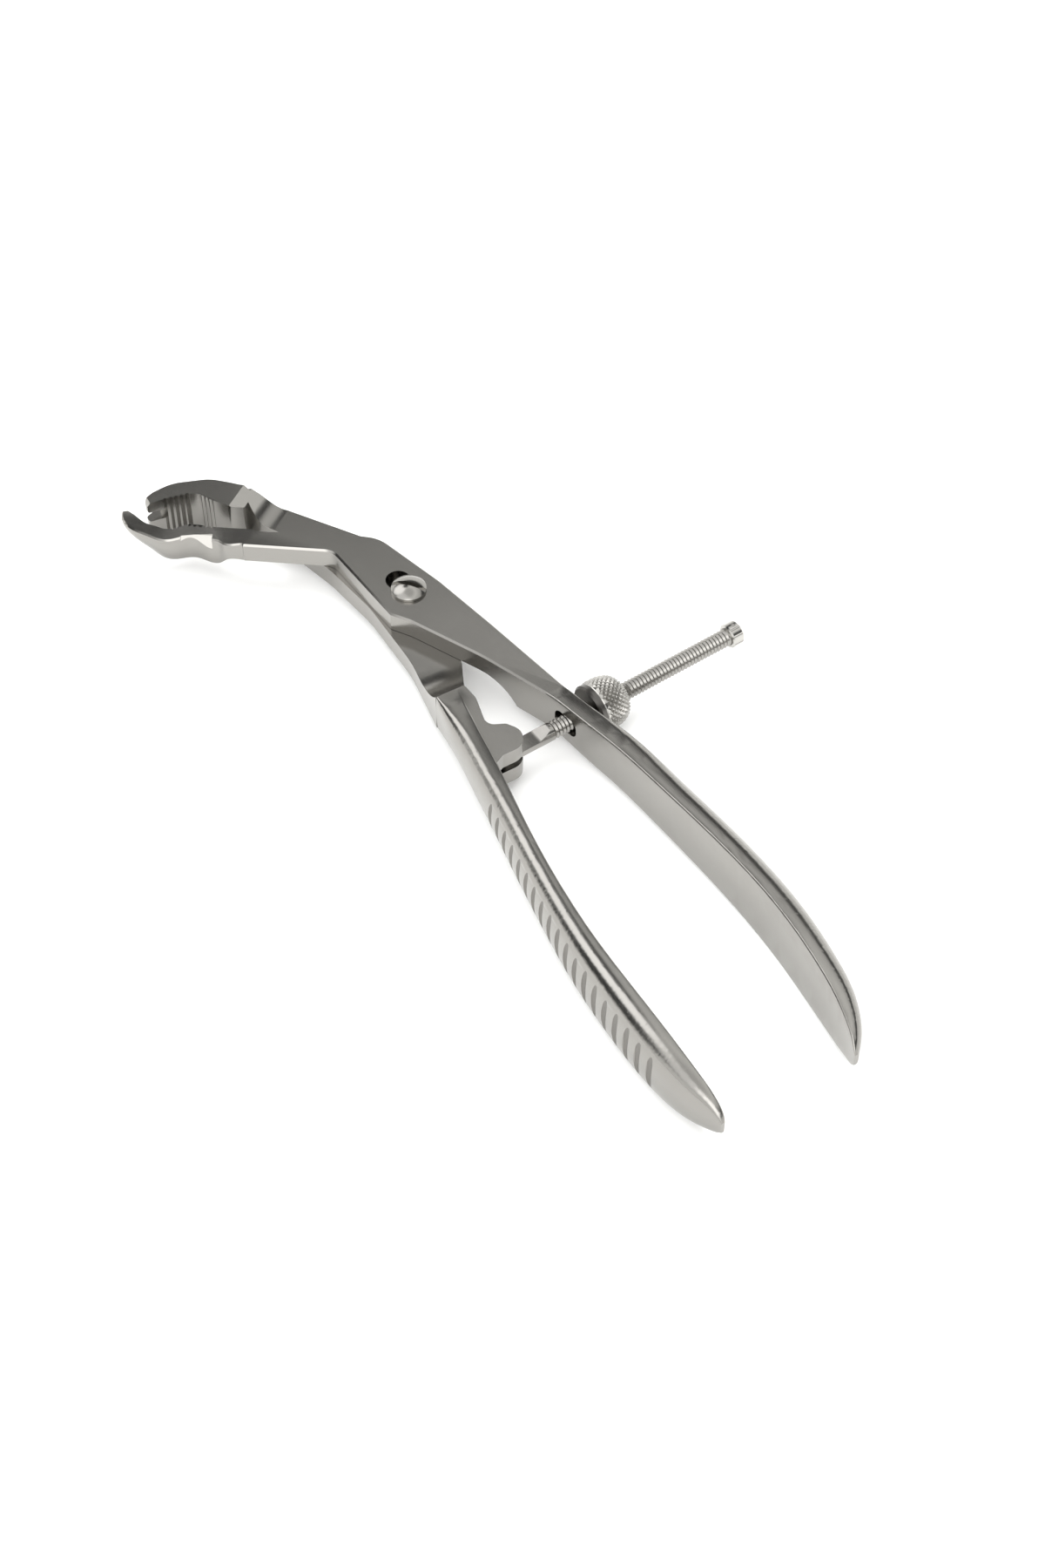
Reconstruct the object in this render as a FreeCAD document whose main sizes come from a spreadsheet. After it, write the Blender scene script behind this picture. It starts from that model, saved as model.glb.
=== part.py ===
import FreeCAD, Part
import math
import os
from FreeCAD import Rotation, Vector

# Locking forceps-type hand grip: two forged arms in a half-lap joint, and the screw
# lock between the handles.  Units mm.  Origin where the pivot axis meets the flat
# underside of the joint, +X toward the handle ends, +Y toward the upper arm's handle,
# +Z up.
os.makedirs("parts", exist_ok=True)
doc = FreeCAD.newDocument("hand_grip")

# ---------------------------------------------------------------- driving dimensions
sheet = doc.addObject("Spreadsheet::Sheet", "Dims")
DIMENSIONS = (
    ("mid_height", 5.4),
    ("arm_thickness", 10.8),
    ("lap_gap", 0.1),
    ("ramp_radius", 15.0),
    ("jaw_bottom", -1.7),
    ("jaw_thickness", 14.2),
    ("edge_bevel", 0.45),
    ("slip_slot_radius", 3.1),
    ("slip_slot_length", 4.3),
    ("screw_head_radius", 4.35),
    ("screw_rim_height", 0.7),
    ("screw_dome_height", 1.5),
    ("screw_shank_radius", 3.0),
    ("screw_thread_radius", 2.5),
    ("screw_slot_width", 1.2),
    ("screw_slot_depth", 1.6),
    ("pin_radius", 1.2),
    ("pin_length", 9.0),
    ("pin_hole_radius", 1.25),
    ("lug_slot_height", 2.0),
    ("tang_thickness", 1.7),
    ("tang_length", 8.0),
    ("tang_run_out", 5.5),
    ("rod_radius", 2.25),
    ("rod_end", 68.4),
    ("thread_start", 13.0),
    ("thread_end", 65.0),
    ("thread_pitch", 1.0),
    ("thread_depth", 0.36),
    ("bore_radius", 2.31),
    ("collar_radius", 6.3),
    ("collar_start", 24.0),
    ("collar_length", 1.6),
    ("nut_radius", 6.6),
    ("nut_start", 25.65),
    ("nut_length", 7.8),
    ("nut_dome", 5.4),
    ("cap_radius", 3.1),
    ("cap_start", 65.6),
    ("cap_length", 3.6),
    ("cap_flute_count", 10),
    ("cap_flute_radius", 0.45),
    ("cap_flute_depth", 0.2),
    ("stop_pin_radius", 0.5),
    ("rod_slot_centre", 52.55),
    ("rod_slot_half_width", 3.65),
    ("rod_slot_half_height", 2.6),
    ("rib_count", 19),
    ("rib_start", 68.2),
    ("rib_radius", 1.05),
    ("rib_depth", 0.6),
    ("rib_pitch", 4.33),
)
for row, (alias, value) in enumerate(DIMENSIONS, start=1):
    sheet.set("A%d" % row, alias)
    sheet.set("B%d" % row, "%g" % value)
    sheet.setAlias("B%d" % row, alias)
doc.recompute()


def dim(alias):
    return float(sheet.get(alias))


MID = dim("mid_height")
HALF = dim("arm_thickness") / 2
BOTTOM = MID - HALF
TOP = MID + HALF
SPINDLE_HINGE = Vector(54.0, -4.0, MID)
SPINDLE_AXIS = Vector(-0.0875, 0.99616, 0.0)
SPINDLE_TURN = math.degrees(math.atan2(SPINDLE_AXIS.y, SPINDLE_AXIS.x))
# Levels clear of the metal, where cuts from below and from above end.
BELOW = -15.0
ABOVE = 25.0


# ---------------------------------------------------------------- sketch helpers
def new_body(name):
    body = doc.addObject("PartDesign::Body", name)
    body.Label = name
    return body


def new_sketch(body, plane, offset, edges):
    """A sketch on one of the body's own origin planes, moved by a placement."""
    sketch = body.newObject("Sketcher::SketchObject", "Sketch")
    support = [axis for axis in body.Origin.OriginFeatures if axis.Role == plane][0]
    sketch.AttachmentSupport = [(support, "")]
    sketch.MapMode = "FlatFace"
    sketch.AttachmentOffset = offset
    for edge in edges:
        sketch.addGeometry(edge, False)
    return sketch


def rounded(points):
    """Closed outline through corners (x, y, radius): straight lines and tangent arcs."""
    corners = []
    count = len(points)
    for i in range(count):
        x, y, radius = points[i]
        here = Vector(x, y, 0)
        back = Vector(points[i - 1][0], points[i - 1][1], 0) - here
        ahead = Vector(points[(i + 1) % count][0], points[(i + 1) % count][1], 0) - here
        back.normalize()
        ahead.normalize()
        half_angle = back.getAngle(ahead) / 2
        if radius == 0 or half_angle > math.radians(89.7):
            corners.append((here, None, here))
            continue
        reach = radius / math.tan(half_angle)
        middle = back + ahead
        middle.normalize()
        middle = here + middle * (radius / math.sin(half_angle) - radius)
        corners.append((here + back * reach, middle, here + ahead * reach))
    edges = []
    for i in range(count):
        start, middle, end = corners[i]
        if middle is not None:
            edges.append(Part.Arc(start, middle, end))
        following = corners[(i + 1) % count][0]
        if (following - end).Length > 1e-6:
            edges.append(Part.LineSegment(end, following))
    return edges


def sharp(points):
    return rounded([(x, y, 0) for x, y in points])


def pad(body, edges, bottom, height):
    """Plan outline raised from a level; height is a number or a formula of the sheet."""
    offset = FreeCAD.Placement(Vector(0, 0, bottom), Rotation())
    feature = body.newObject("PartDesign::Pad", "Pad")
    feature.Profile = new_sketch(body, "XY_Plane", offset, edges)
    if isinstance(height, str):
        feature.setExpression("Length", height)
    else:
        feature.Length = height
    doc.recompute()
    return feature


def cut(body, plane, offset, edges, width):
    """Pocket cut both ways from its sketch plane."""
    feature = body.newObject("PartDesign::Pocket", "Pocket")
    feature.Profile = new_sketch(body, plane, offset, edges)
    feature.Type = "Length"
    feature.SideType = "Symmetric"
    feature.Length = width
    doc.recompute()
    return feature


def side_cut(body, at, direction, edges, width=60.0):
    """Cut with a side profile drawn in the upright plane through `at` along `direction`."""
    turn = Rotation(Vector(0, 1, 0), direction)
    offset = FreeCAD.Placement(Vector(at[0], 0, -at[1]), turn)
    return cut(body, "XZ_Plane", offset, edges, width)


def plan_cut(body, edges, level, width):
    return cut(body, "XY_Plane", FreeCAD.Placement(Vector(0, 0, level), Rotation()), edges, width)


def bevel(body, level, x_from, x_to):
    """Bevel the outline's edges at one level that lie wholly between two x values."""
    base = body.Tip
    names = []
    for i, edge in enumerate(base.Shape.Edges, start=1):
        box = edge.BoundBox
        flat = abs(box.ZMin - level) < 1e-4 and abs(box.ZMax - level) < 1e-4
        if flat and box.XMin > x_from and box.XMax < x_to and box.XLength > 0.01:
            names.append("Edge%d" % i)
    feature = body.newObject("PartDesign::Chamfer", "Bevel")
    feature.Base = (base, names)
    feature.setExpression("Size", "Dims.edge_bevel")
    doc.recompute()
    return feature


def lines(points):
    vectors = [Vector(x, y, 0) for x, y in points]
    return [Part.LineSegment(a, b) for a, b in zip(vectors[:-1], vectors[1:])]


def handle_section(inner, outward, thick, half, corner, bulge):
    """D section in (y, z): flat inner face, narrow flats, big outer corners, slight crown."""
    small = min(0.45, 0.3 * thick)
    corner = min(corner, thick - small - bulge - 0.12, half - 0.3)
    centre_w = thick - corner - bulge
    centre_h = half - corner
    angle = 2 * math.atan2(bulge, centre_h)
    crown_w = centre_w - centre_h / math.tan(angle)
    crown = corner + centre_h / math.sin(angle)
    diagonal = math.sqrt(0.5)

    def at(w, h):
        return Vector(inner + outward * w, MID + h, 0)

    def outer_corner(turn, side):
        w = centre_w + corner * math.cos(turn)
        return at(w, side * (centre_h + corner * math.sin(turn)))

    def inner_corner(side):
        h = half - small + small * diagonal
        return Part.Arc(at(0, side * (half - small)), at(small - small * diagonal, side * h),
                        at(small, side * half))

    mean = (angle + math.pi / 2) / 2
    return [
        Part.LineSegment(at(0, small - half), at(0, half - small)),
        inner_corner(1),
        Part.LineSegment(at(small, half), at(centre_w, half)),
        Part.Arc(at(centre_w, half), outer_corner(mean, 1), outer_corner(angle, 1)),
        Part.Arc(outer_corner(angle, 1), at(crown_w + crown, 0), outer_corner(angle, -1)),
        Part.Arc(outer_corner(angle, -1), outer_corner(mean, -1), at(centre_w, -half)),
        Part.LineSegment(at(centre_w, -half), at(small, -half)),
        inner_corner(-1),
    ]


def handle(body, stations, outward):
    """Loft of the handle through its D sections."""
    sketches = []
    for x, inner, thick, half, corner, bulge in stations:
        offset = FreeCAD.Placement(Vector(0, 0, x), Rotation())
        edges = handle_section(inner, outward, thick, half, corner, bulge)
        sketches.append(new_sketch(body, "YZ_Plane", offset, edges))
    feature = body.newObject("PartDesign::AdditiveLoft", "Handle")
    feature.Profile = sketches[0]
    feature.Sections = sketches[1:]
    feature.Ruled = False
    feature.Refine = False
    doc.recompute()
    return feature


def hook(body, stations):
    """Loft of the hook through (inner point, outer point, top, bottom, share of the width
    that is rounded away along the outer bottom edge)."""
    sketches = []
    for inner, outer, top, bottom, taper in stations:
        across = Vector(outer[0] - inner[0], outer[1] - inner[1], 0)
        width = across.Length
        turn = math.degrees(math.atan2(across.y, across.x))
        offset = FreeCAD.Placement(Vector(inner[0], 0, -inner[1]),
                                   Rotation(Vector(0, 1, 0), turn))
        edge = min(0.4, 0.2 * width)
        waist = bottom + 0.45 * (top - bottom)
        foot = (1 - taper) * width
        flank = Part.Arc(Vector(width, top - edge, 0), Vector((1 - 0.07 * taper) * width, waist, 0),
                         Vector(foot, bottom, 0))
        edges = [flank] + lines(((foot, bottom), (0, bottom), (0, top),
                                 (width - edge, top), (width, top - edge)))
        sketches.append(new_sketch(body, "XZ_Plane", offset, edges))
    feature = body.newObject("PartDesign::AdditiveLoft", "Hook")
    feature.Profile = sketches[0]
    feature.Sections = sketches[1:]
    feature.Ruled = False
    feature.Refine = False
    doc.recompute()
    return feature


def ribs(body, outer_line, outward):
    """Upright round grooves across the outer face, all in one cut."""
    radius = dim("rib_radius")
    circles = []
    for i in range(int(dim("rib_count"))):
        x = dim("rib_start") + i * dim("rib_pitch")
        y = outer_line(x) + outward * (radius - dim("rib_depth"))
        circles.append(Part.Circle(Vector(x, y, 0), Vector(0, 0, 1), radius))
    return plan_cut(body, circles, MID, 24.0)


def along(table, x):
    """Straight interpolation in a table of (x, value)."""
    for (x0, v0), (x1, v1) in zip(table[:-1], table[1:]):
        if x <= x1:
            return v0 + (v1 - v0) * (x - x0) / (x1 - x0)
    return table[-1][1]


def teeth(body, start, end, count, depth, side, level, width):
    """Row of V grooves across a jaw face from start to end; `side` points into the metal."""
    run = Vector(end[0] - start[0], end[1] - start[1], 0)
    pitch = run.Length / count
    run.normalize()
    inward = Vector(-run.y, run.x, 0) * side
    edges = []
    for i in range(count):
        centre = Vector(start[0], start[1], 0) + run * (pitch * (i + 0.5))
        left = centre - run * (pitch * 0.44) - inward * 0.25
        right = centre + run * (pitch * 0.44) - inward * 0.25
        tip = centre + inward * depth
        edges += [Part.LineSegment(left, tip), Part.LineSegment(tip, right),
                  Part.LineSegment(right, left)]
    return plan_cut(body, edges, level, width)


# ---------------------------------------------------------------- upper arm
def build_upper_arm():
    body = new_body("upper_arm")
    # Plan outline: shank from the hook's root, pivot plate, arm, and back by the far side.
    pad(body, rounded((
        (-37.6, -23.16, 0), (-34.2, -28.2, 0),
        (-21.2, -9.95, 4.5), (4.9, -7.8, 0), (9.6, -4.6, 8.0), (28.0, 4.5, 60.0),
        (46.0, 11.6, 0), (46.0, 16.65, 0), (20.0, 11.9, 60.0), (1.0, 8.1, 30.0),
        (-19.6, 2.4, 9.0), (-28.5, -8.2, 12.0), (-35.4, -20.2, 14.0),
    )), BOTTOM, "Dims.arm_thickness")
    bevel(body, TOP, -36.9, 46.1)
    # Lower half removed under the joint, with hollow run-outs at the handle and the hook.
    lap = MID + dim("lap_gap") / 2
    end = 38.0
    run = 10.0
    ramp = [Part.Arc(Vector(end - run, lap, 0),
                     Vector(end - run * 0.46, lap - 1.25, 0), Vector(end, BOTTOM, 0))]
    side_cut(body, (0, 0), 0, lines(((end, BOTTOM), (end, BELOW), (-21, BELOW), (-21, lap),
                                     (end - run, lap))) + ramp)
    side_cut(body, (-42.0, -33.4), 54.5, lines((
        (0, lap), (48.0, lap), (48.0, BELOW), (0, BELOW), (0, lap))))
    hook(body, (
        ((-37.6, -23.16), (-34.2, -28.2), TOP, lap, 0.02),
        ((-40.5, -26.4), (-36.4, -30.9), TOP - 0.47, lap - 0.1, 0.03),
        ((-42.1, -28.2), (-37.9, -31.9), TOP - 0.74, BOTTOM + 4.0, 0.04),
        ((-43.72, -29.98), (-39.62, -32.48), TOP - 1.0, BOTTOM + 1.9, 0.06),
        ((-47.33, -33.34), (-43.23, -35.44), TOP - 1.56, BOTTOM + 1.1, 0.12),
        ((-49.85, -36.95), (-46.05, -38.75), TOP - 2.0, BOTTOM + 0.8, 0.18),
        ((-50.67, -40.02), (-46.97, -42.02), TOP - 2.3, BOTTOM + 0.8, 0.24),
        ((-52.78, -42.36), (-50.18, -45.26), TOP - 2.65, BOTTOM + 1.5, 0.30),
        ((-55.7, -44.12), (-54.3, -47.42), TOP - 3.07, BOTTOM + 2.7, 0.32),
        ((-59.24, -45.25), (-58.74, -48.95), TOP - 3.5, BOTTOM + 3.7, 0.32),
        ((-62.04, -45.78), (-62.44, -48.68), TOP - 3.85, BOTTOM + 4.65, 0.32),
        ((-63.8, -46.3), (-64.3, -47.7), TOP - 4.1, BOTTOM + 5.2, 0.32),
    ))
    # Sloping ledge ground along the outer top edge of the hook.
    side_cut(body, (-44.95, -35.8), -34.1, lines((
        (0, TOP - 1.75), (2.6, TOP - 4.9), (6.0, TOP - 4.9), (6.0, TOP + 1.0),
        (0, TOP + 1.0), (0, TOP - 1.75))), 8.1)
    # Teeth on the hook's gripping face.
    teeth(body, (-50.65, -40.4), (-50.0, -37.4), 3, 0.5, -1, MID, 20.0)
    teeth(body, (-49.6, -36.5), (-44.6, -30.9), 5, 0.5, -1, MID, 20.0)
    handle(body, (
        (46.0, 11.6, 5.05, 5.4, 0.5, 0.10), (52.0, 13.1, 5.0, 5.75, 0.6, 0.15),
        (60.0, 14.6, 5.9, 6.3, 1.5, 0.25), (70.0, 16.6, 6.9, 6.7, 2.8, 0.4),
        (82.0, 18.3, 7.1, 7.05, 3.6, 0.5), (98.0, 20.2, 7.2, 7.6, 4.1, 0.5),
        (114.0, 21.6, 7.1, 8.2, 4.2, 0.5), (130.0, 21.9, 6.9, 8.6, 4.2, 0.5),
        (145.0, 20.9, 6.5, 8.3, 4.0, 0.5), (154.0, 19.8, 5.7, 7.3, 3.4, 0.4),
        (158.0, 19.1, 4.8, 6.3, 2.9, 0.3), (161.0, 18.5, 3.8, 5.2, 2.3, 0.3),
        (163.5, 17.8, 2.5, 3.8, 1.5, 0.2), (165.4, 17.3, 1.1, 1.8, 0.5, 0.1),
    ), 1)
    # Slot for the lock's rod through the handle.
    half_width = dim("rod_slot_half_width")
    half_height = dim("rod_slot_half_height")
    low, high = MID - half_height, MID + half_height
    left = dim("rod_slot_centre") - half_width
    right = dim("rod_slot_centre") + half_width
    side_cut(body, (0, 15), 0, rounded((
        (left, low, 2.0), (right, low, 2.0), (right, high, 2.0), (left, high, 2.0))), 16.0)
    # Two-position slip slot for the pivot screw.
    reach = dim("slip_slot_length")
    radius = dim("slip_slot_radius")
    along_slot = Rotation(Vector(0, 0, 1), 9.0)

    def in_slot(x, y):
        return along_slot.multVec(Vector(x, y, 0))

    plan_cut(body, [
        Part.Arc(in_slot(0, radius), in_slot(radius, 0), in_slot(0, -radius)),
        Part.LineSegment(in_slot(0, -radius), in_slot(-reach, -radius)),
        Part.Arc(in_slot(-reach, -radius), in_slot(-reach - radius, 0),
                 in_slot(-reach, radius)),
        Part.LineSegment(in_slot(-reach, radius), in_slot(0, radius)),
    ], TOP, 14.0)
    outer = ((60, 20.6), (70, 23.6), (82, 25.5), (98, 27.5), (114, 28.8), (130, 28.9),
             (145, 27.5), (154, 25.6))
    ribs(body, lambda x: along(outer, x), 1)
    return body


# ---------------------------------------------------------------- lower arm
def build_lower_arm():
    body = new_body("lower_arm")
    # Plan outline: shank from the far jaw, pivot plate, arm and the lug for the lock.
    pad(body, rounded((
        (-52.8, -20.4, 0), (-44.4, -19.2, 10.0), (-38.4, -15.9, 14.0), (-20.0, -11.2, 30.0),
        (-4.0, -8.9, 30.0), (17.0, -8.8, 40.0), (34.2, -11.5, 0), (34.2, -3.75, 0),
        (23.8, 1.4, 1.5), (4.0, 8.6, 10.0), (-9.0, 7.2, 12.0),
        (-25.0, 2.4, 14.0), (-44.8, -10.7, 14.0), (-49.8, -14.2, 6.0), (-52.4, -19.8, 0.8),
    )), BOTTOM, "Dims.arm_thickness")
    # Far jaw: a deeper block with a hollow gripping face and a two-pronged tip.
    pad(body, rounded((
        (-61.0, -42.6, 1.1), (-58.9, -42.6, 0.6), (-58.2, -38.0, 14.0), (-55.8, -30.4, 5.0),
        (-51.4, -28.5, 4.0), (-46.7, -25.5, 1.0), (-47.0, -21.5, 1.5), (-50.3, -17.2, 0.8),
        (-52.4, -19.9, 3.0), (-58.4, -25.4, 10.0), (-62.4, -34.4, 11.0), (-62.0, -39.8, 3.0),
    )), dim("jaw_bottom"), "Dims.jaw_thickness")
    lap = MID - dim("lap_gap") / 2
    # Upper half removed over the joint, with hollow run-outs at the handle and the jaw.
    rise = TOP - lap
    radius = dim("ramp_radius")
    run = math.sqrt(2 * radius * rise - rise * rise)
    start = 22.6
    turn = math.asin(run / radius) / 2
    middle = Vector(start + radius * math.sin(turn), lap + radius * (1 - math.cos(turn)), 0)
    side_cut(body, (0, 0), 0, [
        Part.Arc(Vector(start, lap, 0), middle, Vector(start + run, TOP, 0)),
    ] + lines(((start + run, TOP), (start + run, ABOVE), (-12, ABOVE), (-12, lap),
               (start, lap))))
    jaw_top = dim("jaw_bottom") + dim("jaw_thickness")
    side_cut(body, (-49.65, -21.9), 36.4, [
        Part.LineSegment(Vector(0, jaw_top, 0), Vector(4.0, MID + 2.4, 0)),
        Part.Arc(Vector(4.0, MID + 2.4, 0), Vector(6.4, MID + 0.55, 0), Vector(10.5, lap, 0)),
    ] + lines(((10.5, lap), (52.0, lap), (52.0, ABOVE), (0, ABOVE), (0, jaw_top))), 80.0)
    # Lug that carries the lock's rod.
    pad(body, rounded((
        (34.2, -7.6, 0), (48.0, -9.6, 0), (59.6, -11.2, 0), (58.9, -9.0, 0.4),
        (57.7, -6.8, 1.0), (57.6, -1.4, 3.9), (53.4, 1.2, 3.9), (49.6, -1.2, 1.6),
        (47.6, -5.4, 2.5), (39.0, -3.3, 4.0), (34.2, -3.75, 0),
    )), BOTTOM, "Dims.arm_thickness")
    slot = dim("lug_slot_height") / 2
    side_cut(body, (0, 0), 0, sharp(((46.0, MID - slot), (60.0, MID - slot),
                                     (60.0, MID + slot), (46.0, MID + slot))), 17.0)
    hole = [Part.Circle(Vector(SPINDLE_HINGE.x, SPINDLE_HINGE.y, 0), Vector(0, 0, 1),
                        dim("pin_hole_radius"))]
    plan_cut(body, hole, MID - 0.8, 9.4)
    handle(body, (
        (34.2, -5.6, 5.9, 5.4, 0.5, 0.1), (40.0, -6.4, 5.9, 5.5, 1.8, 0.2),
        (48.0, -7.6, 5.9, 5.7, 2.8, 0.4),
        (60.0, -9.4, 5.8, 6.3, 3.0, 0.4), (70.0, -11.2, 5.5, 6.7, 3.2, 0.5),
        (85.0, -13.7, 5.3, 7.15, 3.4, 0.5), (100.0, -15.5, 5.5, 7.65, 3.6, 0.5),
        (115.0, -16.5, 6.0, 8.25, 3.9, 0.5), (130.0, -16.5, 6.4, 8.6, 4.1, 0.5),
        (145.0, -16.1, 6.3, 8.3, 4.1, 0.5), (154.0, -15.7, 5.2, 7.3, 3.4, 0.4),
        (158.0, -15.35, 4.3, 6.3, 2.8, 0.3), (161.0, -15.15, 3.3, 5.2, 2.1, 0.3),
        (163.5, -15.1, 2.3, 3.8, 1.4, 0.2), (165.4, -15.6, 1.0, 1.8, 0.5, 0.1),
    ), -1)
    outer = ((60, -15.2), (70, -16.7), (85, -19.0), (100, -21.0), (115, -22.5), (130, -22.9),
             (145, -22.4), (154, -20.9))
    ribs(body, lambda x: along(outer, x), -1)
    # Threaded hole of the pivot screw.
    plan_cut(body, [Part.Circle(Vector(0, 0, 0), Vector(0, 0, 1),
                                dim("screw_thread_radius") + 0.05)], MID, 14.0)
    # Teeth on the far jaw's gripping face and the notch that splits its tip in two prongs.
    teeth(body, (-58.3, -38.8), (-56.5, -31.9), 5, 0.5, 1, MID, 20.0)
    teeth(body, (-55.0, -30.2), (-50.4, -28.1), 4, 0.5, 1, MID, 20.0)
    plan_cut(body, sharp(((-64, -44), (-57, -44), (-57, -37.6), (-64, -38.6))), MID + 1.2, 3.0)
    # Jaw thinned toward its tip by a flat above and below, and its prong tips rounded off.
    for sign in (1, -1):
        edge = sign * dim("jaw_thickness") / 2
        side_cut(body, (-51.5, -23.0), -116.0, lines((
            (0, MID + edge), (26.0, MID + edge * 0.78), (26.0, MID + edge * 1.3),
            (0, MID + edge * 1.3), (0, MID + edge))))
        side_cut(body, (-60.3, -42.7), 85.0, [
            Part.Arc(Vector(0, MID + edge * 0.5, 0), Vector(0.9, MID + edge * 0.82, 0),
                     Vector(3.4, MID + edge, 0)),
        ] + lines(((3.4, MID + edge), (3.4, MID + edge * 1.2), (-2.0, MID + edge * 1.2),
                   (-2.0, MID + edge * 0.5), (0, MID + edge * 0.5))), 10.0)
    return body


# ---------------------------------------------------------------- turned parts
def revolve(body, plane, axis, edges):
    feature = body.newObject("PartDesign::Revolution", "Turned")
    feature.Profile = new_sketch(body, plane, FreeCAD.Placement(), edges)
    support = [item for item in body.Origin.OriginFeatures if item.Role == axis][0]
    feature.ReferenceAxis = (support, [""])
    feature.Angle = 360
    doc.recompute()
    return feature


def build_pivot_screw():
    body = new_body("pivot_screw")
    tip = BOTTOM
    shoulder = MID
    seat = TOP + 0.05
    rim = seat + dim("screw_rim_height")
    crown = rim + dim("screw_dome_height")
    thread = dim("screw_thread_radius")
    shank = dim("screw_shank_radius")
    head = dim("screw_head_radius")
    dome = Part.Arc(Vector(head, rim, 0), Vector(head * 0.52, rim + (crown - rim) * 0.74, 0),
                    Vector(0, crown, 0))
    revolve(body, "XZ_Plane", "Z_Axis", [dome] + lines((
        (0, crown), (0, tip), (thread - 0.4, tip), (thread, tip + 0.4), (thread, shoulder),
        (shank, shoulder), (shank, seat), (head, seat), (head, rim))))
    width = dim("screw_slot_width") / 2
    turned = Rotation(Vector(0, 0, 1), 45)
    corners = [turned.multVec(Vector(x, y, 0)) for x, y in
               ((-6, -width), (6, -width), (6, width), (-6, width))]
    plan_cut(body, sharp([(c.x, c.y) for c in corners]), crown, 2 * dim("screw_slot_depth"))
    return body


def build_hinge_pin():
    body = new_body("spindle_hinge_pin")
    radius = dim("pin_radius")
    circle = Part.Circle(Vector(SPINDLE_HINGE.x, SPINDLE_HINGE.y, 0), Vector(0, 0, 1), radius)
    pad(body, [circle], BOTTOM + 0.1, "Dims.pin_length")
    return body


def spindle_body(name):
    """Body whose +X runs along the lock's rod from its hinge."""
    body = new_body(name)
    body.Placement = FreeCAD.Placement(SPINDLE_HINGE, Rotation(Vector(0, 0, 1), SPINDLE_TURN))
    return body


def build_spindle():
    body = spindle_body("threaded_spindle")
    crest = dim("rod_radius")
    root = crest - dim("thread_depth")
    pitch = dim("thread_pitch")
    end = dim("rod_end")
    first = dim("thread_start")
    profile = [(0, 0), (0, crest), (first, crest)]
    for i in range(int((dim("thread_end") - first) / pitch)):
        x = first + i * pitch
        profile += [(x + 0.5 * pitch, root), (x + pitch, crest)]
    profile += [(end - 0.4, crest), (end, crest - 0.4), (end, 0), (0, 0)]
    revolve(body, "XY_Plane", "X_Axis", lines(profile))
    # The hinge end is round in plan and milled flat above and below, with a run-out.
    pad(body, [Part.Circle(Vector(0, 0, 0), Vector(0, 0, 1), crest)],
        -dim("tang_thickness") / 2, "Dims.tang_thickness")
    flat = dim("tang_thickness") / 2
    length = dim("tang_length")
    run_out = length + dim("tang_run_out")
    for sign in (1, -1):
        side_cut(body, (0, 0), 0, lines((
            (-3, sign * flat), (length, sign * flat), (run_out, sign * (crest + 0.1)),
            (-3, sign * (crest + 0.1)), (-3, sign * flat))), 10.0)
    plan_cut(body, [Part.Circle(Vector(0, 0, 0), Vector(0, 0, 1), dim("pin_hole_radius"))],
             0, 8.0)
    middle = dim("cap_start") + dim("cap_length") / 2
    plan_cut(body, [Part.Circle(Vector(middle, 0, 0), Vector(0, 0, 1),
                                dim("stop_pin_radius") + 0.03)], 0, 8.0)
    return body


def build_collar():
    body = spindle_body("thrust_collar")
    start = dim("collar_start")
    end = start + dim("collar_length")
    bore = dim("bore_radius")
    radius = dim("collar_radius")
    revolve(body, "XY_Plane", "X_Axis", lines((
        (start, bore), (start, radius - 0.5), (start + 0.5, radius), (end, radius),
        (end, bore), (start, bore))))
    return body


def build_nut():
    body = spindle_body("lock_nut")
    start = dim("nut_start")
    end = start + dim("nut_length")
    bore = dim("bore_radius")
    radius = dim("nut_radius")
    barrel_end = end - dim("nut_dome")
    nose = bore + 0.5
    dome = Part.Arc(Vector(barrel_end, radius, 0),
                    Vector(barrel_end + 3.6, radius - 1.25, 0), Vector(end, nose, 0))
    revolve(body, "XY_Plane", "X_Axis", [dome] + lines((
        (end, nose), (end, bore), (start, bore), (start, radius - 0.25),
        (start + 0.25, radius), (barrel_end, radius))))
    return body


def build_cap():
    body = spindle_body("end_stop_cap")
    start = dim("cap_start")
    end = start + dim("cap_length")
    bore = dim("bore_radius")
    radius = dim("cap_radius")
    floor = dim("rod_end") + 0.1
    revolve(body, "XY_Plane", "X_Axis", lines((
        (start, bore), (start, radius - 0.35), (start + 0.35, radius), (end - 0.7, radius),
        (end, radius - 0.7), (end, 0), (floor, 0), (floor, bore), (start, bore))))
    middle = (start + end) / 2
    plan_cut(body, [Part.Circle(Vector(middle, 0, 0), Vector(0, 0, 1),
                                dim("stop_pin_radius") + 0.03)], 0, 8.0)
    # Flutes along the cap's rim, with the cross pin between two of them.
    flute = dim("cap_flute_radius")
    reach = Vector(radius + flute - dim("cap_flute_depth"), 0, 0)
    count = int(dim("cap_flute_count"))
    turns = [Rotation(Vector(0, 0, 1), 360 * i / count) for i in range(count)]
    cut(body, "YZ_Plane", FreeCAD.Placement(Vector(0, 0, middle), Rotation()),
        [Part.Circle(turn.multVec(reach), Vector(0, 0, 1), flute) for turn in turns], 8.0)
    return body


def build_stop_pin():
    body = spindle_body("end_stop_pin")
    middle = dim("cap_start") + dim("cap_length") / 2
    radius = dim("stop_pin_radius")
    length = 2 * dim("cap_radius") - 0.1
    pad(body, [Part.Circle(Vector(middle, 0, 0), Vector(0, 0, 1), radius)],
        -length / 2, length)
    return body


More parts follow.
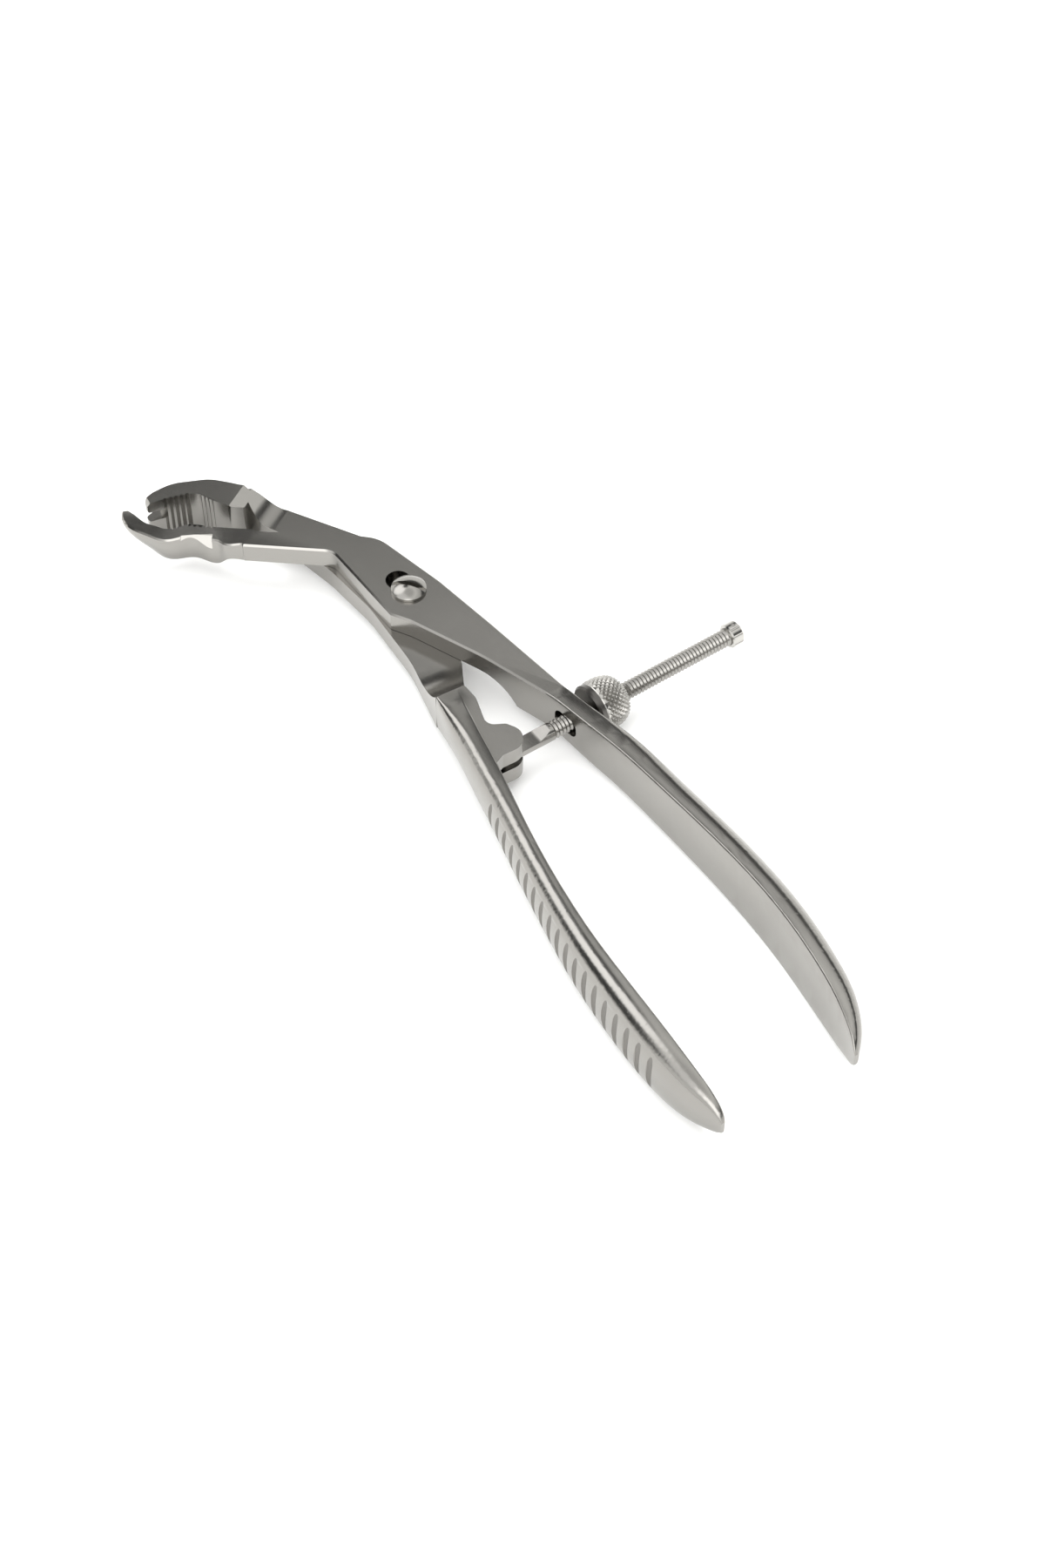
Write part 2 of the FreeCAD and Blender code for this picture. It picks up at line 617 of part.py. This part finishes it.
bodies = [build_upper_arm(), build_lower_arm(), build_pivot_screw(), build_hinge_pin(),
          build_spindle(), build_collar(), build_nut(), build_cap(), build_stop_pin()]
doc.recompute()
for body in bodies:
    for feature in body.Group:
        if "Invalid" in feature.State or "Error" in feature.State:
            raise RuntimeError("%s: %s failed" % (body.Label, feature.Label))
    shape = body.Shape
    if shape.isNull() or not shape.isValid() or len(shape.Solids) != 1:
        raise RuntimeError("%s has no single valid solid" % body.Label)
    shape.exportStep("parts/%s.step" % body.Label)
    print(body.Label, round(shape.Volume, 1))
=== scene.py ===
import math

import bmesh
import bpy
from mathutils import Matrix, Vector


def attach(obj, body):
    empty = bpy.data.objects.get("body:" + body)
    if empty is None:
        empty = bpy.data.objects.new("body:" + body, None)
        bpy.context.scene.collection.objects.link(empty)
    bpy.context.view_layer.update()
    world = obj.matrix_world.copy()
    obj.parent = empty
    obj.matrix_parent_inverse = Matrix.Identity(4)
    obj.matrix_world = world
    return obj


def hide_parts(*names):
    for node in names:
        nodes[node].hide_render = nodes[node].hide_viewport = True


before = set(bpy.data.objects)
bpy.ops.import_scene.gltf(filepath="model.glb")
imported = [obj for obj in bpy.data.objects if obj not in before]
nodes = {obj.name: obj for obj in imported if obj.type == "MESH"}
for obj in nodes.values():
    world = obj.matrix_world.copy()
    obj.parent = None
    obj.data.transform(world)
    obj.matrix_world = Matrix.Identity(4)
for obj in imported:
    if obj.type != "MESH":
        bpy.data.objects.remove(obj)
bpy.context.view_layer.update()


# ------------------------------------------------------------------ camera
# A 60 mm lens on a full-frame body held upright, about 0.6 m from the tool and
# 50 degrees above the table, looking along it from the handle ends.
camera_data = bpy.data.cameras.new("camera")
camera_data.sensor_fit = "VERTICAL"
camera_data.sensor_height = 36.0
camera_data.sensor_width = 36.0
camera_data.lens = 60.0
camera_data.clip_start = 0.01
camera = bpy.data.objects.new("camera", camera_data)
bpy.context.scene.collection.objects.link(camera)
camera.location = (0.3993, -0.2008, 0.4687)
look_at = Vector((0.0573, -0.0013, -0.0032))
camera.rotation_mode = "QUATERNION"
camera.rotation_quaternion = (look_at - camera.location).to_track_quat("-Z", "Y")
bpy.context.scene.camera = camera
bpy.context.scene.view_settings.view_transform = "Standard"


# ------------------------------------------------------------------ table
# A sheet of matt white laminate that runs on past the view.  It keeps the soft shadow
# of the tool; what the camera and the steel see of it is lifted to a clean white.
def hex_colour(code):
    """sRGB hex to linear RGBA."""
    channels = [int(code[i:i + 2], 16) / 255 for i in (1, 3, 5)]
    linear = [c / 12.92 if c <= 0.04045 else ((c + 0.055) / 1.055) ** 2.4 for c in channels]
    return (*linear, 1.0)


def add_node(tree, kind, links=(), **settings):
    """A node with its settings; a link is (its socket, the socket that feeds it)."""
    node = tree.nodes.new(kind)
    for name, value in settings.items():
        if hasattr(node, name):
            setattr(node, name, value)
        else:
            node.inputs[name.replace("_", " ")].default_value = value
    for socket, source in links:
        tree.links.new(source, node.inputs[socket])
    return node


def new_material(name):
    material = bpy.data.materials.new(name)
    material.use_nodes = True
    material.node_tree.nodes.clear()
    return material, material.node_tree


TABLE_LEVEL = -0.0032
TABLE_REACH = 3.0
TABLE_GLOW = 0.16
laminate, tree = new_material("white_laminate")
matt = add_node(tree, "ShaderNodeBsdfDiffuse", Color=hex_colour("#ebebea"))
path = add_node(tree, "ShaderNodeLightPath")
seen = add_node(tree, "ShaderNodeMath", [(0, path.outputs["Is Camera Ray"]),
                                         (1, path.outputs["Is Glossy Ray"])], operation="ADD")
seen = add_node(tree, "ShaderNodeMath", [(0, seen.outputs[0]),
                                         (1, path.outputs["Is Transmission Ray"])],
                operation="ADD", use_clamp=True)
lift = add_node(tree, "ShaderNodeMath", [(0, seen.outputs[0])], operation="MULTIPLY")
lift.inputs[1].default_value = TABLE_GLOW
glow = add_node(tree, "ShaderNodeEmission", [("Strength", lift.outputs[0])],
                Color=hex_colour("#ffffff"))
both = add_node(tree, "ShaderNodeAddShader", [(0, matt.outputs[0]), (1, glow.outputs[0])])
add_node(tree, "ShaderNodeOutputMaterial", [("Surface", both.outputs[0])])

table_mesh = bpy.data.meshes.new("table_top")
corners = [(x * TABLE_REACH, y * TABLE_REACH, TABLE_LEVEL)
           for x, y in ((-1, -1), (1, -1), (1, 1), (-1, 1))]
table_mesh.from_pydata(corners, [], [(0, 1, 2, 3)])
table_mesh.materials.append(laminate)
table = bpy.data.objects.new("table_top", table_mesh)
bpy.context.scene.collection.objects.link(table)


# ------------------------------------------------------------------ studio
# A room with a pale strip along its foot, a dark band above that and a light ceiling,
# and in it soft pale and dark panels.  Polished steel shows the room, so its light and
# dark parts make the steel's bright and dark bands; the lamps are for the table.
studio = bpy.data.worlds.new("studio")
bpy.context.scene.world = studio
studio.use_nodes = True
tree = studio.node_tree
tree.nodes.clear()
place = add_node(tree, "ShaderNodeTexCoord")
direction = add_node(tree, "ShaderNodeVectorMath", [(0, place.outputs["Generated"])],
                     operation="NORMALIZE")
split = add_node(tree, "ShaderNodeSeparateXYZ", [("Vector", direction.outputs[0])])
height = add_node(tree, "ShaderNodeMapRange", [("Value", split.outputs["Z"])])
height.inputs["From Min"].default_value = -1.0
room = add_node(tree, "ShaderNodeValToRGB", [("Fac", height.outputs[0])])
room.color_ramp.interpolation = "EASE"
# Height in the room, from -1 straight down to 1 straight up, and the tone there.
ROOM_TONES = ((-0.30, 0.6), (0.02, 1.40), (0.36, 1.45), (0.48, 0.12), (0.66, 0.09),
              (0.75, 1.10), (0.83, 1.15), (0.90, 1.50), (0.99, 1.00))
stops = room.color_ramp.elements
while len(stops) < len(ROOM_TONES):
    stops.new(0.5)
for stop, (z, tone) in zip(stops, ROOM_TONES):
    stop.position = (z + 1) / 2
    stop.color = (tone, tone, tone * 0.985, 1.0)


def panel(tree, base, azimuth, elevation, inner, outer, tone):
    """Soft round patch of one tone in the room, around a direction, in degrees."""
    a, e = math.radians(azimuth), math.radians(elevation)
    aim = (math.cos(a) * math.cos(e), math.sin(a) * math.cos(e), math.sin(e))
    near = add_node(tree, "ShaderNodeVectorMath", [(0, direction.outputs[0])],
                    operation="DOT_PRODUCT")
    near.inputs[1].default_value = aim
    mask = add_node(tree, "ShaderNodeMapRange", [("Value", near.outputs["Value"])],
                    interpolation_type="SMOOTHSTEP")
    mask.inputs["From Min"].default_value = math.cos(math.radians(outer))
    mask.inputs["From Max"].default_value = math.cos(math.radians(inner))
    mixed = add_node(tree, "ShaderNodeMix", [("Factor", mask.outputs[0]), (6, base)],
                     data_type="RGBA")
    mixed.inputs[7].default_value = (tone, tone, tone, 1.0)
    return mixed.outputs[2]


# Azimuth from +X toward +Y, elevation, the radii where the panel is full and where it
# has faded out, all in degrees, and its tone.
PANELS = (
    (280, 50, 12, 34, 1.6),
    (325, 42, 12, 28, 3.4),
    (206, 50, 15, 25, 2.6),
    (171, 57, 4, 12, 0.05),
    (236, 20, 8, 19, 0.05),
)
shown = room.outputs["Color"]
for values in PANELS:
    shown = panel(tree, shown, *values)
background = add_node(tree, "ShaderNodeBackground", [("Color", shown)], Strength=1.0)
add_node(tree, "ShaderNodeOutputWorld", [("Surface", background.outputs[0])])


def soft_lamp(name, location, size, power):
    """Wide soft box aimed at the middle of the tool; it lights the table and casts the
    shadow, while the polished steel shows the room's own panels instead of it."""
    data = bpy.data.lights.new(name, "AREA")
    data.shape = "RECTANGLE"
    data.size, data.size_y = size
    data.energy = power
    lamp = bpy.data.objects.new(name, data)
    bpy.context.scene.collection.objects.link(lamp)
    lamp.location = location
    lamp.visible_glossy = False
    lamp.rotation_mode = "QUATERNION"
    aim = Vector((0.05, 0, 0)) - Vector(location)
    lamp.rotation_quaternion = aim.to_track_quat("-Z", "Y")


soft_lamp("far_overhead", (-0.20, 0.30, 1.10), (0.8, 0.6), 7.0)
soft_lamp("near_overhead", (0.45, -0.30, 1.20), (0.9, 0.9), 2.0)


# ------------------------------------------------------------------ arms
# Two drop-forged stainless steel levers, ground and polished to a satin sheen: mid grey,
# with soft-edged reflections and a very fine grain left by the polishing belt.
def satin_steel(name, colour, deep, roughness, grain_mm, grain_height):
    """Polished steel: cloudy tone, uneven sheen, fine grain drawn out along the tool.
    The real belt grain is finer than 0.05 mm, drawn coarser here so that it shows."""
    material, tree = new_material(name)
    place = add_node(tree, "ShaderNodeTexCoord")
    cloud = add_node(tree, "ShaderNodeTexNoise", [("Vector", place.outputs["Object"])],
                     Scale=45.0, Detail=4.0, Roughness=0.55)
    shade = add_node(tree, "ShaderNodeMix", [("Factor", cloud.outputs["Fac"])],
                     data_type="RGBA")
    shade.inputs[6].default_value = hex_colour(colour)
    shade.inputs[7].default_value = hex_colour(deep)
    stretch = add_node(tree, "ShaderNodeMapping", [("Vector", place.outputs["Object"])])
    stretch.inputs["Scale"].default_value = (0.12, 1.0, 1.0)
    grain = add_node(tree, "ShaderNodeTexNoise", [("Vector", stretch.outputs[0])],
                     Scale=1000.0 / grain_mm, Detail=3.0, Roughness=0.6)
    sheen = add_node(tree, "ShaderNodeMapRange", [("Value", grain.outputs["Fac"])])
    sheen.inputs["To Min"].default_value = roughness - 0.05
    sheen.inputs["To Max"].default_value = roughness + 0.07
    smear = add_node(tree, "ShaderNodeMapRange", [("Value", cloud.outputs["Fac"])])
    smear.inputs["To Min"].default_value = -0.04
    smear.inputs["To Max"].default_value = 0.05
    rough = add_node(tree, "ShaderNodeMath", [(0, sheen.outputs[0]), (1, smear.outputs[0])],
                     operation="ADD")
    bump = add_node(tree, "ShaderNodeBump", [("Height", grain.outputs["Fac"])],
                    Strength=0.35, Distance=grain_height)
    shader = add_node(tree, "ShaderNodeBsdfPrincipled",
                      [("Base Color", shade.outputs[2]), ("Roughness", rough.outputs[0]),
                       ("Normal", bump.outputs[0])], Metallic=1.0)
    add_node(tree, "ShaderNodeOutputMaterial", [("Surface", shader.outputs[0])])
    return material


def polish_tree():
    """Geometry Nodes: smooth faces, sharp edges kept above an angle."""
    tree = bpy.data.node_groups.new("polished_faces", "GeometryNodeTree")
    tree.interface.new_socket("Geometry", in_out="INPUT", socket_type="NodeSocketGeometry")
    limit = tree.interface.new_socket("Edge angle", in_out="INPUT",
                                      socket_type="NodeSocketFloat")
    limit.default_value = math.radians(28)
    tree.interface.new_socket("Geometry", in_out="OUTPUT", socket_type="NodeSocketGeometry")
    given = add_node(tree, "NodeGroupInput")
    smooth = add_node(tree, "GeometryNodeSetShadeSmooth",
                      [("Geometry", given.outputs["Geometry"])])
    angle = add_node(tree, "GeometryNodeInputMeshEdgeAngle")
    crease = add_node(tree, "FunctionNodeCompare", [("A", angle.outputs["Unsigned Angle"]),
                                                    ("B", given.outputs["Edge angle"])],
                      operation="GREATER_THAN")
    keen = add_node(tree, "GeometryNodeSetShadeSmooth",
                    [("Geometry", smooth.outputs[0]), ("Selection", crease.outputs[0])],
                    domain="EDGE")
    keen.inputs["Shade Smooth"].default_value = False
    add_node(tree, "NodeGroupOutput", [("Geometry", keen.outputs[0])])
    return tree


polished_faces = polish_tree()


def dress(name, material):
    """Material, joined facets and smooth faces for one solid node."""
    node = nodes[name]
    node.data.materials.clear()
    node.data.materials.append(material)
    weld = node.modifiers.new("joined_facets", "WELD")
    weld.merge_threshold = 2e-6
    node.modifiers.new("polished_faces", "NODES").node_group = polished_faces


GROOVE_START, GROOVE_PITCH, GROOVE_COUNT = 0.0682, 0.00433, 19
GROOVE_HALF_WIDTH = 0.00097
UPRIGHT, FACING_OUT = 0.02, 0.2


def matt_grooves_with_painted_shade(name, outward, material):
    """The finger grooves keep the milling cutter's matt finish, and their steel is painted
    darker as painted shade for the shade inside the grooves; they are the upright faces of
    each groove, found by their place along the handle."""
    mesh = nodes[name].data
    mesh.materials.append(material)
    for face in mesh.polygons:
        if abs(face.normal.z) > UPRIGHT or face.normal.y * outward < FACING_OUT:
            continue
        number = round((face.center.x - GROOVE_START) / GROOVE_PITCH)
        middle = GROOVE_START + number * GROOVE_PITCH
        reach = max(abs(mesh.vertices[v].co.x - middle) for v in face.vertices)
        if 0 <= number < GROOVE_COUNT and reach < GROOVE_HALF_WIDTH:
            face.material_index = 1


arm_steel = satin_steel("satin_polished_steel", "#9c9a96", "#8f8d89", 0.19, 0.25, 0.00002)
# Groove steel: its higher roughness is the matt milled finish; its darker colour is painted
# shade for the shade inside the grooves.
groove_steel_painted_shade = satin_steel("milled_groove_steel_painted_shade", "#85837f", "#74726e", 0.42, 0.2, 0.00003)
dress("upper_arm", arm_steel)
matt_grooves_with_painted_shade("upper_arm", 1, groove_steel_painted_shade)
dress("lower_arm", arm_steel)
matt_grooves_with_painted_shade("lower_arm", -1, groove_steel_painted_shade)


# ------------------------------------------------------------------ joint screw and pins
# Turned stainless steel screw with a polished low dome and one driver slot, and two
# plain ground pins: sharper in reflection than the arms, and the pins brighter too.
turned_steel = satin_steel("turned_polished_steel", "#c4c2be", "#b4b2ae", 0.15, 0.2, 0.00001)
screw_steel = satin_steel("turned_screw_steel", "#9c9a96", "#8f8d89", 0.15, 0.2, 0.00001)
dress("pivot_screw", screw_steel)
dress("spindle_hinge_pin", turned_steel)
dress("end_stop_pin", turned_steel)


# ------------------------------------------------------------------ rod, collar and cap
# Screw-cut stainless steel rod, flattened at its hinge end, with a plain thrust collar
# against the handle,
#  painted dark as painted shade and painted dark reflection where it sits between nut and
#  handle, and a bright fluted cap pinned over its free end.
rod_steel = satin_steel("screw_cut_steel", "#a4a29e", "#94928e", 0.20, 0.2, 0.00001)
dress("threaded_spindle", rod_steel)
# The collar's dark colour is painted shade and painted dark reflection, not a colour of the
# steel itself.
collar_steel_painted_shade = satin_steel("collar_steel_painted_shade_and_reflection", "#6a6865", "#5b5956", 0.30, 0.2, 0.00001)
dress("thrust_collar", collar_steel_painted_shade)
dress("end_stop_cap", turned_steel)


# ------------------------------------------------------------------ lock nut
# Round-nosed stainless nut with a diamond knurl rolled over its barrel and dome; each
# diamond is a small blunt pyramid with a burnished tip and duller flanks.  The real
# knurl is about 1 mm from diamond to diamond, drawn at 1.4 mm so that it shows.
NUT_SEAT = Vector((0.054, -0.004, 0.0054))
NUT_AXIS = Vector((-0.0875, 0.99616, 0.0)).normalized()
NUT_START, NUT_END = 0.02565, 0.03345
NUT_RADIUS, NUT_BORE, NUT_NOSE = 0.0066, 0.00231, 0.00281
BARREL_END = NUT_END - 0.0054
SEAT_CHAMFER, NOSE_CHAMFER = 0.0006, 0.0001
DIAMONDS, DIAMOND_HEIGHT = 28, 0.0005
PLAIN_AT_SEAT, PLAIN_AT_NOSE = 0.00035, 0.0002
SLOPE_STEP = 0.0001


def nut_radius_at(t):
    """Radius of the plain nut a distance along the rod: barrel, then a round nose."""
    if t <= BARREL_END:
        return NUT_RADIUS
    share = (t - BARREL_END) / (NUT_END - BARREL_END)
    return NUT_NOSE + (NUT_RADIUS - NUT_NOSE) * (1 - share ** 2.6) ** 0.55


def nut_point(t, radius, turn):
    """Point of the nut: distance along the rod, radius, and angle about the rod."""
    side = Vector((0, 0, 1)).cross(NUT_AXIS)
    around = side * math.cos(turn) + Vector((0, 0, 1)) * math.sin(turn)
    return NUT_SEAT + NUT_AXIS * t + around * radius


def nut_blank():
    """Lathe mesh whose skin is laid out in diamonds, marked in a face attribute."""
    rows = []
    t = NUT_START + PLAIN_AT_SEAT
    while t < NUT_END - PLAIN_AT_NOSE:
        rows.append((t, nut_radius_at(t) - DIAMOND_HEIGHT))
        slope = (nut_radius_at(t + SLOPE_STEP) - nut_radius_at(t)) / SLOPE_STEP
        step = math.pi * rows[-1][1] / DIAMONDS
        t += step / math.sqrt(1 + slope * slope)
    mesh = bmesh.new()
    mark = mesh.faces.layers.int.new("diamond")
    delta = 2 * math.pi / DIAMONDS

    def ring(t, radius, offset):
        return [mesh.verts.new(nut_point(t, radius, (i + offset) * delta))
                for i in range(DIAMONDS)]

    rings = [ring(t, radius, 0.5 * (j % 2)) for j, (t, radius) in enumerate(rows)]
    for j in range(len(rings) - 2):
        low, middle, high = rings[j:j + 3]
        shift = j % 2
        for i in range(DIAMONDS):
            left = middle[(i - 1 + shift) % DIAMONDS]
            right = middle[(i + shift) % DIAMONDS]
            face = mesh.faces.new((low[i], right, high[i], left))
            face[mark] = 1
    # Half diamonds fill the first and the last row.
    last, inner = rings[-1], rings[-2]
    shift = len(rings) % 2
    for i in range(DIAMONDS):
        mesh.faces.new((rings[0][i], rings[0][(i + 1) % DIAMONDS], rings[1][i]))
        mesh.faces.new((last[i], last[i - 1], inner[(i - shift) % DIAMONDS]))
    # Plain seat, bore and nose close the ends.
    seat_rim = ring(NUT_START, NUT_RADIUS - SEAT_CHAMFER, 0)
    seat_bore = ring(NUT_START, NUT_BORE, 0)
    nose_offset = 0.5 * ((len(rings) - 1) % 2)
    nose_bore = ring(NUT_END, NUT_BORE, nose_offset)
    nose_rim = ring(NUT_END, NUT_NOSE - NOSE_CHAMFER, nose_offset)
    for a, b in ((rings[0], seat_rim), (seat_rim, seat_bore), (seat_bore, nose_bore),
                 (nose_bore, nose_rim), (nose_rim, rings[-1])):
        for i in range(DIAMONDS):
            after = (i + 1) % DIAMONDS
            mesh.faces.new((a[i], b[i], b[after], a[after]))
    bmesh.ops.recalc_face_normals(mesh, faces=mesh.faces)
    data = bpy.data.meshes.new("knurled_nut")
    mesh.to_mesh(data)
    mesh.free()
    return data


def knurl_tree():
    """Geometry Nodes: every marked diamond rises to a small blunt pyramid."""
    tree = bpy.data.node_groups.new("diamond_knurl", "GeometryNodeTree")
    tree.interface.new_socket("Geometry", in_out="INPUT", socket_type="NodeSocketGeometry")
    for label, value in (("Diamond height", DIAMOND_HEIGHT), ("Tip share", 0.3)):
        socket = tree.interface.new_socket(label, in_out="INPUT",
                                           socket_type="NodeSocketFloat")
        socket.default_value = value
    tree.interface.new_socket("Steel", in_out="INPUT", socket_type="NodeSocketMaterial")
    tree.interface.new_socket("Flank steel", in_out="INPUT",
                              socket_type="NodeSocketMaterial")
    tree.interface.new_socket("Geometry", in_out="OUTPUT", socket_type="NodeSocketGeometry")
    given = add_node(tree, "NodeGroupInput")
    marked = add_node(tree, "GeometryNodeInputNamedAttribute", data_type="INT",
                      Name="diamond")
    raised = add_node(tree, "GeometryNodeExtrudeMesh",
                      [("Mesh", given.outputs["Geometry"]),
                       ("Selection", marked.outputs["Attribute"]),
                       ("Offset Scale", given.outputs["Diamond height"])], mode="FACES")
    raised.inputs["Individual"].default_value = True
    tips = add_node(tree, "GeometryNodeScaleElements",
                    [("Geometry", raised.outputs["Mesh"]),
                     ("Selection", raised.outputs["Top"]),
                     ("Scale", given.outputs["Tip share"])], domain="FACE")
    whole = add_node(tree, "GeometryNodeRealizeInstances", [("Geometry", tips.outputs[0])])
    coated = add_node(tree, "GeometryNodeSetMaterial",
                      [("Geometry", whole.outputs[0]), ("Material", given.outputs["Steel"])])
    flanks = add_node(tree, "GeometryNodeSetMaterial",
                      [("Geometry", coated.outputs[0]), ("Selection", raised.outputs["Side"]),
                       ("Material", given.outputs["Flank steel"])])
    add_node(tree, "NodeGroupOutput", [("Geometry", flanks.outputs[0])])
    return tree


def grown(data, name, tree, values):
    """The mesh after one Geometry Nodes modifier, as a plain object of its own."""
    source = bpy.data.objects.new(name + "_source", data)
    bpy.context.scene.collection.objects.link(source)
    modifier = source.modifiers.new(name, "NODES")
    modifier.node_group = tree
    for item in tree.interface.items_tree:
        if item.in_out == "INPUT" and item.name in values:
            modifier[item.identifier] = values[item.name]
    evaluated = source.evaluated_get(bpy.context.evaluated_depsgraph_get())
    result = bpy.data.meshes.new_from_object(evaluated)
    bpy.data.objects.remove(source)
    piece = bpy.data.objects.new(name, result)
    bpy.context.scene.collection.objects.link(piece)
    return piece


flank_steel = satin_steel("knurl_flank_steel", "#b4b2ae", "#a4a29e", 0.34, 0.2, 0.00001)
nut = grown(nut_blank(), "knurled_lock_nut", knurl_tree(),
            {"Steel": turned_steel, "Flank steel": flank_steel})
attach(nut, "nut_body")
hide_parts("lock_nut")
